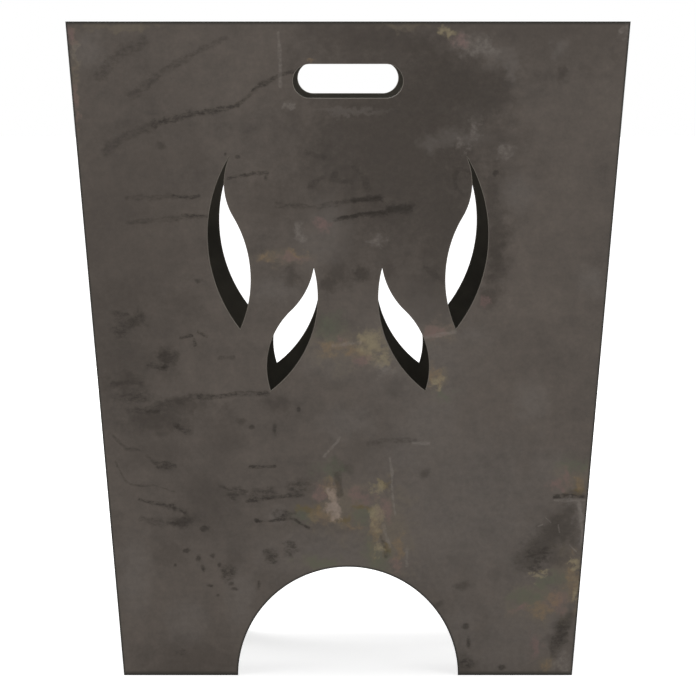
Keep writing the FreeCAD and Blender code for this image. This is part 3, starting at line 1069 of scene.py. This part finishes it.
# %% [markdown]
# The fire grate
#
# The grate is a square plate with rounded corners and rows of ash slots, a shape that follows a rule. In
# Geometry Nodes a grid gives the slots' places, an instance of one slot outline goes to each, and the
# filled outline is pulled up to the plate's thickness. A bevel then breaks its edges.

# %% Geometry helpers
def geometry_tree(name, inputs):
    """An empty geometry tree with its named inputs, and a table from each name to its identifier."""
    tree = bpy.data.node_groups.new(name, "GeometryNodeTree")
    tree.interface.new_socket("Mesh", in_out="INPUT", socket_type="NodeSocketGeometry")
    sockets = {label: tree.interface.new_socket(label, in_out="INPUT", socket_type="NodeSocket" + kind)
               for label, kind in inputs.items()}
    tree.interface.new_socket("Mesh", in_out="OUTPUT", socket_type="NodeSocketGeometry")
    identifiers = {label: socket.identifier for label, socket in sockets.items()}
    return tree, tree.nodes.new("NodeGroupInput").outputs, identifiers


def joined(tree, *parts):
    """Several geometries as one."""
    join = tree.nodes.new("GeometryNodeJoinGeometry")
    for part in parts:
        tree.links.new(part, join.inputs[0])
    return join.outputs[0]


def rounded_box(tree, width, length, radius, corner_points):
    """Curve of a rectangle with round corners."""
    sides = {"Width": width, "Height": length}
    outline = add_node(tree, "GeometryNodeCurvePrimitiveQuadrilateral", sides).outputs[0]
    corners = {"Curve": outline, "Radius": radius, "Count": corner_points}
    return add_node(tree, "GeometryNodeFilletCurve", corners, mode="POLY").outputs[0]


def finish_tree(tree, shape, material):
    """Realize what was instanced, give it its material and send it out."""
    real = add_node(tree, "GeometryNodeRealizeInstances", {0: shape}).outputs[0]
    dressed = add_node(tree, "GeometryNodeSetMaterial", {"Geometry": real, "Material": material}).outputs[0]
    add_node(tree, "NodeGroupOutput", {0: dressed})


geometry_nodes = [name for name in dir(bpy.types) if name.startswith("GeometryNode")]
print("kinds of geometry nodes to choose from:", len(geometry_nodes))

# %% Grate tree
CORNER_POINTS = 8
SLOT_END_POINTS = 7


def make_grate_tree():
    tree, given, names = geometry_tree("slotted_grate", {
        "Side": "Float", "Corner": "Float", "Thickness": "Float", "Columns": "Int", "Rows": "Int",
        "Field Across": "Float", "Field Along": "Float", "Slot Width": "Float", "Slot Length": "Float",
        "Slot End": "Float", "Level": "Vector", "Steel": "Material"})
    rim = rounded_box(tree, given["Side"], given["Side"], given["Corner"], CORNER_POINTS)
    slot_sizes = given["Slot Width"], given["Slot Length"], given["Slot End"]
    slot = rounded_box(tree, *slot_sizes, SLOT_END_POINTS)
    places = add_node(tree, "GeometryNodeMeshGrid", {
        "Size X": given["Field Across"], "Size Y": given["Field Along"], "Vertices X": given["Columns"],
        "Vertices Y": given["Rows"]}).outputs["Mesh"]
    slots = add_node(tree, "GeometryNodeInstanceOnPoints", {"Points": places, "Instance": slot}).outputs[0]
    slots = add_node(tree, "GeometryNodeRealizeInstances", {0: slots}).outputs[0]
    flat = add_node(tree, "GeometryNodeFillCurve", {0: joined(tree, rim, slots)}).outputs[0]
    raised = add_node(tree, "GeometryNodeExtrudeMesh", {
        "Mesh": flat, "Offset Scale": given["Thickness"], "Individual": False}).outputs["Mesh"]
    under = add_node(tree, "GeometryNodeFlipFaces", {0: flat}).outputs[0]
    whole = add_node(tree, "GeometryNodeMergeByDistance", {0: joined(tree, raised, under)}).outputs[0]
    lift = {"Geometry": whole, "Offset": given["Level"]}
    lifted = add_node(tree, "GeometryNodeSetPosition", lift).outputs[0]
    finish_tree(tree, lifted, given["Steel"])
    return tree, names


grate_tree, grate_inputs = make_grate_tree()
print("grate tree:", len(grate_tree.nodes), "nodes,", len(grate_inputs), "inputs")

# %% [markdown]
# Bake the grate
#
# The modifier's inputs are set by their identifiers. The evaluated object then gives a plain mesh, which
# goes back into the object, and the modifiers go. The sizes come from the same rule as the CAD plate: the
# slots fill the field inside a border, three rows of twelve.

# %% Grate sizes
GRATE_PLATE = 4 * MM
GRATE_CORNER = 12 * MM
GRATE_BORDER = 42 * MM
GRATE_COLUMNS = 12
GRATE_ROWS = 3
ASH_SLOT_WIDTH = 8 * MM
ASH_SLOT_END_WEB = 20 * MM
ASH_SLOT_ROUNDNESS = 0.99
GRATE_ARRIS = 0.5 * MM
grate_low, grate_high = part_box("fire_grate")
grate_side = grate_high.x - grate_low.x
field = grate_side - 2 * GRATE_BORDER
row_pitch = (field + ASH_SLOT_END_WEB) / GRATE_ROWS
column_pitch = (field - ASH_SLOT_WIDTH) / (GRATE_COLUMNS - 1)
grate_sizes = {
    "Side": grate_side, "Corner": GRATE_CORNER, "Thickness": GRATE_PLATE,
    "Columns": GRATE_COLUMNS, "Rows": GRATE_ROWS,
    "Field Across": column_pitch * (GRATE_COLUMNS - 1), "Field Along": row_pitch * (GRATE_ROWS - 1),
    "Slot Width": ASH_SLOT_WIDTH, "Slot Length": row_pitch - ASH_SLOT_END_WEB,
    "Slot End": ASH_SLOT_WIDTH / 2 * ASH_SLOT_ROUNDNESS, "Level": (0, 0, SEAT),
    # The grate lies inside the basket, under a coat of painted shade.
    "Steel": plain_steel("grate_steel", tone=(72, 68, 63), contrast=0.9, seed=12.0),
}
print(f"ash slots {column_pitch / MM:.1f} mm apart and {(row_pitch - ASH_SLOT_END_WEB) / MM:.1f} mm long")

# %% The grate
def baked(made):
    """The object with its modifiers' result as its plain mesh."""
    bpy.context.view_layer.update()
    evaluated = made.evaluated_get(bpy.context.evaluated_depsgraph_get())
    mesh = bpy.data.meshes.new_from_object(evaluated)
    made.modifiers.clear()
    made.data = mesh
    mesh.name = made.name
    return made


grate = add_object("slotted_fire_grate", bpy.data.meshes.new("slotted_fire_grate"))
cut_slots = grate.modifiers.new("slotted plate", "NODES")
cut_slots.node_group = grate_tree
for label, value in grate_sizes.items():
    cut_slots[grate_inputs[label]] = value
break_edges = grate.modifiers.new("broken edges", "BEVEL")
break_edges.width = GRATE_ARRIS
break_edges.segments = 1
break_edges.limit_method = "ANGLE"
break_edges.use_clamp_overlap = False
baked(grate)
print("grate:", len(grate.data.polygons), "faces, box", [round(side / MM, 1) for side in grate.dimensions])

# %% [markdown]
# Weld beads
#
# A stick weld is a row of overlapping ripples, each a small crescent that froze behind the arc. One ripple
# is made point by point, with a leg on each plate and a crown between them. A tree walks along the seams
# and puts a ripple at each step, turned to the seam and a little uneven in size.

# %% One ripple
RIPPLE_LENGTH = 0.62
RIPPLE_CROWN = 0.11
RIPPLE_SWELL = [(0.0, 0.78), (0.3, 0.97), (0.65, 1.0), (1.0, 0.82)]
RIPPLE_POINTS = 6
RIPPLE_BULGE = 0.35


def ripple_mesh():
    """Closed crescent with legs of 1 along Y and Z, and its length along X."""
    points, faces = [], []
    ring = RIPPLE_POINTS + 1
    for share, swell in RIPPLE_SWELL:
        points.append(Vector((share * RIPPLE_LENGTH, 0, 0)))
        for step in range(RIPPLE_POINTS):
            turn = math.pi / 2 * step / (RIPPLE_POINTS - 1)
            flat = 1 / (math.cos(turn) + math.sin(turn))
            reach = swell * (flat + RIPPLE_CROWN * math.sin(2 * turn))
            lead = RIPPLE_BULGE * math.sin(2 * turn) + (1 - RIPPLE_BULGE) * share
            across, up = reach * math.cos(turn), reach * math.sin(turn)
            points.append(Vector((lead * RIPPLE_LENGTH, across, up)))
    for low in range(0, (len(RIPPLE_SWELL) - 1) * ring, ring):
        for n in range(ring):
            after = (n + 1) % ring
            faces.append((low + n, low + after, low + ring + after, low + ring + n))
    faces.append(tuple(range(ring))[::-1])
    faces.append(tuple(range(len(points) - ring, len(points))))
    mesh = bpy.data.meshes.new("weld_ripple")
    mesh.from_pydata(points, [], faces)
    mesh.shade_smooth()
    return mesh


ripple = bpy.data.objects.new("weld_ripple", ripple_mesh())
print("one ripple:", len(ripple.data.polygons), "faces")

# %% Weld tree
SMALLEST_RIPPLE = 0.88
LARGEST_RIPPLE = 1.0


def make_weld_tree():
    tree, given, names = geometry_tree("weld_beads", {
        "Ripple": "Object", "Leg": "Vector", "Leg Size": "Float", "Step": "Float", "Seed": "Int",
        "Metal": "Material"})
    seams = add_node(tree, "GeometryNodeMeshToCurve", {0: given["Mesh"]}).outputs[0]
    steps = add_node(tree, "GeometryNodeResampleCurve", {"Curve": seams, "Length": given["Step"]},
                     mode="LENGTH").outputs[0]
    tangent = add_node(tree, "GeometryNodeInputTangent", {}).outputs[0]
    facing = add_node(tree, "FunctionNodeAxesToRotation", {0: tangent, 1: given["Leg"]},
                      primary_axis="X", secondary_axis="Y").outputs[0]
    sizes = {2: SMALLEST_RIPPLE, 3: LARGEST_RIPPLE, "Seed": given["Seed"]}
    uneven = add_node(tree, "FunctionNodeRandomValue", sizes, data_type="FLOAT").outputs[1]
    size = number(tree, "MULTIPLY", uneven, given["Leg Size"])
    shape = add_node(tree, "GeometryNodeObjectInfo", {"Object": given["Ripple"]}).outputs["Geometry"]
    beads = add_node(tree, "GeometryNodeInstanceOnPoints", {
        "Points": steps, "Instance": shape, "Rotation": facing, "Scale": size}).outputs[0]
    finish_tree(tree, beads, given["Metal"])
    return tree, names


weld_tree, weld_inputs = make_weld_tree()
print("weld tree:", len(weld_tree.nodes), "nodes")

# %% [markdown]
# Lay the beads
#
# A corner has four short stitches, from near the foot to near the rim. A lug has one bead under it, where
# it meets its panel. Both are worked out for the front and swung round to the other sides, with a seed for
# each bead.

# %% Laying a bead
CORNER_LEG = 5 * MM
LUG_LEG = 4 * MM
LUG_WELD_INSET = 7 * MM
RIPPLE_STEP = 0.38
HEAT_BROWN = (86, 72, 56)
HEAT_SCALE = 90
weld_metal = plain_steel("weld_metal", tone=(112, 104, 96), contrast=1.2, seed=15.0,
                         coat_tone=HEAT_BROWN, coat_scale=HEAT_SCALE, metallic=0.4)


def weld(name, seams, leg, leg_size, angle, seed):
    """Beads along seams of two points each, with a leg on one plate, swung round by an angle."""
    turn = swing(angle)
    mesh = bpy.data.meshes.new(name)
    ends = [turn @ point for seam in seams for point in seam]
    mesh.from_pydata(ends, [(n, n + 1) for n in range(0, len(ends), 2)], [])
    made = add_object(name, mesh)
    beads = made.modifiers.new("weld beads", "NODES")
    beads.node_group = weld_tree
    values = {"Ripple": ripple, "Leg": turn @ leg, "Leg Size": leg_size, "Step": RIPPLE_STEP * leg_size,
              "Seed": seed, "Metal": weld_metal}
    for label, value in values.items():
        beads[weld_inputs[label]] = value
    return baked(made)


print("a ripple every", RIPPLE_STEP * CORNER_LEG / MM, "mm in the corners")

# %% Corner and lug welds
foot_corner = Vector((-INNER_FOOT, -INNER_FOOT, 0))
along_corner = Vector((-LEAN, -LEAN, 1)).normalized()
stitch = WELD_LENGTH * MM - RIPPLE_LENGTH * CORNER_LEG
corner_seams = []
for start in WELD_STARTS:
    first = foot_corner + along_corner * start * MM
    corner_seams.append((first, first + along_corner * stitch))
lug_under = SEAT - LUG_PLATE
lug_end = Vector((LUG_HALF - LUG_WELD_INSET, -inner_half(lug_under), lug_under))
lug_far_end = lug_end - Vector((2 * (LUG_HALF - LUG_WELD_INSET) - RIPPLE_LENGTH * LUG_LEG, 0, 0))
CORNERS = {"front_left": 0, "front_right": 90, "back_right": 180, "back_left": 270}
corner_beads, lug_beads = {}, {}
for corner, angle in CORNERS.items():
    name = corner + "_corner_beads"
    corner_beads[corner] = weld(name, corner_seams, Vector((1, 0, 0)), CORNER_LEG, angle, angle + 1)
for side, angle in QUARTER.items():
    name = side + "_lug_bead"
    lug_beads[side] = weld(name, [(lug_end, lug_far_end)], Vector((0, 1, 0)), LUG_LEG, angle, angle + 2)
bpy.data.objects.remove(ripple)
print("corner beads:", {corner: len(made.data.polygons) for corner, made in corner_beads.items()})

# %% [markdown]
# Hand the pieces over
#
# Each piece now takes the place of its CAD node, which is hidden, and rides on the body that it moves with.
# The panels, lugs and welds are one body. The grate is loose and is a body of its own.

# %% Bodies
def hand_over(piece, body, node):
    """The piece takes the place of a node, which is hidden, and rides on a body."""
    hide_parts(node)
    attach(piece, body)


for side in QUARTER:
    hand_over(panels[side], "basket", side + "_panel")
    hand_over(lugs[side], "basket", side + "_lug")
    hand_over(lug_beads[side], "basket", side + "_lug_weld")
for corner in CORNERS:
    hand_over(corner_beads[corner], "basket", corner + "_corner_welds")
hand_over(grate, "grate", "fire_grate")
print("pieces handed over:", 3 * len(QUARTER) + len(CORNERS) + 1)

# %% [markdown]
# A white studio
#
# The picture has a plain white ground. The floor is pale and catches a soft shadow, with a little glow that
# only the camera and reflections see, so that it reads as white. The world does the same: white to look at,
# but only moderate as a light. The lamps stay at a level where the plate's grey renders as it is written.

# %% Floor
FLOOR_HALF = 30.0
GLOW_DISTANCES = 0.5, 1.6
GLOW_STRENGTHS = 0.74, 0.95
WHITE = (1, 1, 1, 1)
PALE = (0.85, 0.85, 0.85, 1)


def seen_directly(tree):
    """1 for rays from the camera, a reflection or glass, and 0 for light on its way to a surface."""
    path = add_node(tree, "ShaderNodeLightPath", {}).outputs
    mirrored = number(tree, "MAXIMUM", path["Is Glossy Ray"], path["Is Transmission Ray"])
    return number(tree, "MAXIMUM", path["Is Camera Ray"], mirrored)


floor_mesh = bpy.data.meshes.new("studio_floor")
floor_corners = [(-FLOOR_HALF, -FLOOR_HALF, 0), (FLOOR_HALF, -FLOOR_HALF, 0),
                 (FLOOR_HALF, FLOOR_HALF, 0), (-FLOOR_HALF, FLOOR_HALF, 0)]
floor_mesh.from_pydata(floor_corners, [], [(0, 1, 2, 3)])
floor = add_object("studio_floor", floor_mesh)
floor_white, tree = new_material("floor_white")
spot = add_node(tree, "ShaderNodeTexCoord", {}).outputs["Object"]
distance = vector(tree, "DISTANCE", spot, (0, 0, 0))
glow = eased(tree, distance, *GLOW_DISTANCES, *GLOW_STRENGTHS)
glow = number(tree, "MULTIPLY", seen_directly(tree), glow)
shader = add_node(tree, "ShaderNodeBsdfPrincipled", {
    "Base Color": PALE, "Roughness": 0.9, "Specular IOR Level": 0.1,
    "Emission Color": WHITE, "Emission Strength": glow}).outputs[0]
add_node(tree, "ShaderNodeOutputMaterial", {"Surface": shader})
floor_mesh.materials.append(floor_white)
print("floor:", 2 * FLOOR_HALF, "m wide")

# %% World
AMBIENT = 0.4
world = bpy.data.worlds.new("white_studio")
world.use_nodes = True
world.node_tree.nodes.clear()
bpy.context.scene.world = world
tree = world.node_tree
strength = eased(tree, seen_directly(tree), 0.0, 1.0, AMBIENT, 1.0)
sky = add_node(tree, "ShaderNodeBackground", {"Color": WHITE, "Strength": strength}).outputs[0]
add_node(tree, "ShaderNodeOutputWorld", {"Surface": sky})
print("world lights at", AMBIENT, "and looks white")

# %% [markdown]
# Lamps and camera
#
# A wide lamp stands in front and to the right, low enough to reach the leaning plate, and a second one
# fills from the left. Three more light the back and the sides, so that the part looks right all round. The
# camera is far off with a long lens, nearly level, which is why the front looks almost flat.

# %% Lamps
Lamp = namedtuple("Lamp", "place size power")
LAMPS = {
    "front_right": Lamp((2.2, -4.2, 1.0), 2.6, 57), "front_left": Lamp((-2.8, -3.6, 0.9), 2.4, 33),
    "behind": Lamp((-1.5, 4.5, 2.0), 2.6, 80), "right_side": Lamp((4.4, 1.2, 1.6), 2.4, 50),
    "left_side": Lamp((-4.4, 1.0, 1.6), 2.4, 50),
}
AIM = Vector((0, 0, 0.3))
for name, (place, size, power) in LAMPS.items():
    light = bpy.data.lights.new(name, "AREA")
    light.shape = "DISK"
    light.size = size
    light.energy = power
    stand = bpy.data.objects.new(name, light)
    stand.location = place
    stand.rotation_euler = (AIM - Vector(place)).to_track_quat("-Z", "Y").to_euler()
    bpy.context.scene.collection.objects.link(stand)
print("lamps:", len(LAMPS), "with", sum(lamp.power for lamp in LAMPS.values()), "watts in all")

# %% Camera
CAMERA_PLACE = (0, -5.4, 0.58)
CAMERA_DIP = 3.07
FOCAL_LENGTH = 293.4
SENSOR = 36
lens = bpy.data.cameras.new("studio_camera")
lens.lens = FOCAL_LENGTH
lens.sensor_width = SENSOR
camera = bpy.data.objects.new("studio_camera", lens)
camera.location = CAMERA_PLACE
camera.rotation_euler = (math.radians(90 - CAMERA_DIP), 0, 0)
bpy.context.scene.collection.objects.link(camera)
bpy.context.scene.camera = camera
bpy.context.scene.view_settings.view_transform = "Standard"
print(f"the camera sees {math.degrees(lens.angle):.2f} degrees")

# %% [markdown] End
